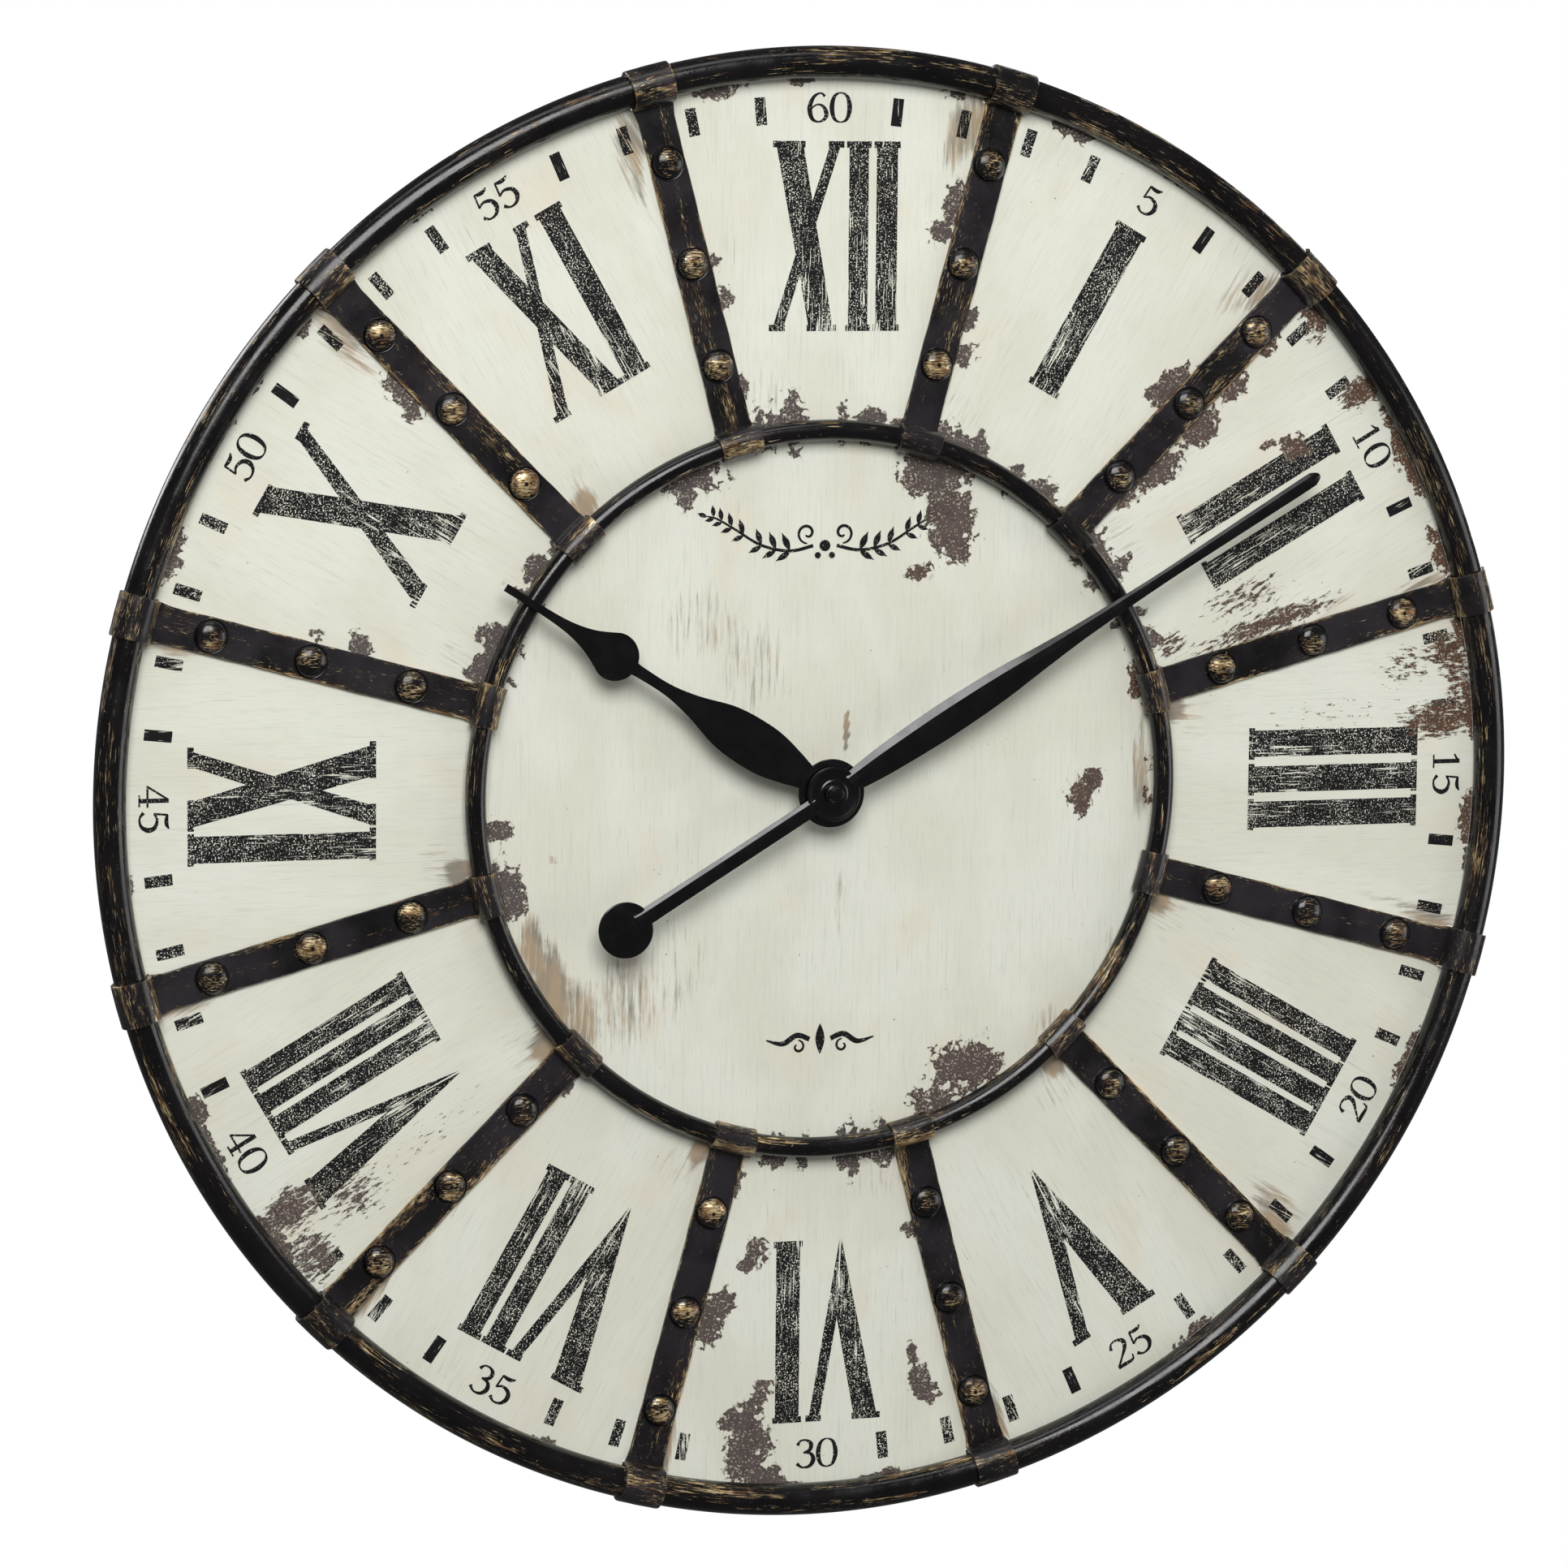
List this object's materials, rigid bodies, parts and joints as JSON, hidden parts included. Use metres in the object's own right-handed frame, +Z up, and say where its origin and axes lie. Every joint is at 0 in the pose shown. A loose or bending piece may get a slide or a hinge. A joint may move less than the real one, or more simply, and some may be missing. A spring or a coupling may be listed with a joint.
{
  "type": "wall clock",
  "caption": "Large round wall clock with a distressed numeral dial, riveted straps between two dark metal rings, and spade hands driven by a quartz movement.",
  "frame": {"origin": "the nail's seat at the top of the hanger's keyhole slot, on the wall plane", "axes": "+X to the viewer's right, +Y from the dial into the wall, +Z up through twelve o'clock"},
  "size_m": [0.5994, 0.0432, 0.5994],
  "materials": {
    "ring_steel": "satin black paint with bronze rub-through along the tube",
    "strap_steel": "matte charcoal hammered paint, bronze wear on edges and rivet heads",
    "dial_board": "distressed cream paint over fibreboard, with peeled patches and printed black numerals",
    "hand_black": "gloss black lacquer on aluminium sheet",
    "plated_steel": "zinc plated",
    "case_plastic": "moulded matte black",
    "wheel_plastic": "moulded natural white",
    "brass": "turned brass",
    "rubber": "moulded black rubber",
    "copper_wire": "enamelled copper winding",
    "circuit_board": "green solder mask",
    "battery_sleeve": "plain printed-free shrink sleeve on a steel can"
  },
  "bodies": {
    "clock": {"outer_ring": "ring_steel", "inner_ring": "ring_steel", "dial_board": "dial_board", "strap_01": "strap_steel", "strap_02": "strap_steel", "strap_03": "strap_steel", "strap_04": "strap_steel", "strap_05": "strap_steel", "strap_06": "strap_steel", "strap_07": "strap_steel", "strap_08": "strap_steel", "strap_09": "strap_steel", "strap_10": "strap_steel", "strap_11": "strap_steel", "strap_12": "strap_steel", "hanger_bracket": "plated_steel", "hanger_screw_left": "plated_steel", "hanger_screw_right": "plated_steel", "wall_bumper_left": "rubber", "wall_bumper_right": "rubber", "bumper_screw_left": "plated_steel", "bumper_screw_right": "plated_steel", "movement_front_case": "case_plastic", "movement_rear_cover": "case_plastic", "case_gasket": "rubber", "dial_washer": "brass", "bushing_nut": "brass", "stator": "plated_steel", "coil": "copper_wire", "circuit_board": "circuit_board", "quartz_crystal": "plated_steel", "battery_contact_negative": "plated_steel", "battery_contact_positive": "plated_steel", "battery": "battery_sleeve"},
    "minute": {"minute_hand": "hand_black", "hand_cap_nut": "hand_black", "minute_arbor": "brass", "centre_wheel": "wheel_plastic"},
    "hour": {"hour_hand": "hand_black", "hour_wheel": "wheel_plastic"},
    "motion": {"motion_wheel": "wheel_plastic"},
    "setting": {"set_stem": "wheel_plastic", "set_knob": "wheel_plastic"},
    "third": {"third_wheel": "wheel_plastic"},
    "seconds": {"seconds_wheel": "wheel_plastic"},
    "intermediate": {"intermediate_wheel": "wheel_plastic"},
    "rotor": {"rotor": "plated_steel"}
  },
  "joints": [
    {"name": "minute_hand_turn", "type": "hinge", "parent": "clock", "child": "minute", "pos_m": [0, -0.039, -0.209], "axis": [0, 1, 0], "continuous": true},
    {"name": "hour_hand_turn", "type": "hinge", "parent": "clock", "child": "hour", "pos_m": [0, -0.0357, -0.209], "axis": [0, 1, 0], "continuous": true},
    {"name": "motion_wheel_turn", "type": "hinge", "parent": "clock", "child": "motion", "pos_m": [0.00677, -0.0136, -0.20654], "axis": [0, 1, 0], "continuous": true},
    {"name": "set_knob_turn", "type": "hinge", "parent": "clock", "child": "setting", "pos_m": [0.01353, -0.0136, -0.20408], "axis": [0, 1, 0], "continuous": true},
    {"name": "third_wheel_turn", "type": "hinge", "parent": "clock", "child": "third", "pos_m": [-0.00425, -0.0093, -0.20164], "axis": [0, 1, 0], "continuous": true},
    {"name": "seconds_wheel_turn", "type": "hinge", "parent": "clock", "child": "seconds", "pos_m": [0, -0.0076, -0.209], "axis": [0, 1, 0], "continuous": true},
    {"name": "intermediate_wheel_turn", "type": "hinge", "parent": "clock", "child": "intermediate", "pos_m": [0.0036, -0.0058, -0.20277], "axis": [0, 1, 0], "continuous": true},
    {"name": "rotor_turn", "type": "hinge", "parent": "clock", "child": "rotor", "pos_m": [0.00457, -0.0058, -0.19725], "axis": [0, 1, 0], "continuous": true}
  ],
  "couplings": [
    {"joint": "hour_hand_turn", "follows": "minute_hand_turn", "ratio": 0.083333},
    {"joint": "motion_wheel_turn", "follows": "minute_hand_turn", "ratio": -0.33333},
    {"joint": "set_knob_turn", "follows": "minute_hand_turn", "ratio": 1},
    {"joint": "third_wheel_turn", "follows": "minute_hand_turn", "ratio": -7.5},
    {"joint": "seconds_wheel_turn", "follows": "minute_hand_turn", "ratio": 60},
    {"joint": "intermediate_wheel_turn", "follows": "minute_hand_turn", "ratio": -300},
    {"joint": "rotor_turn", "follows": "minute_hand_turn", "ratio": 1800}
  ]
}
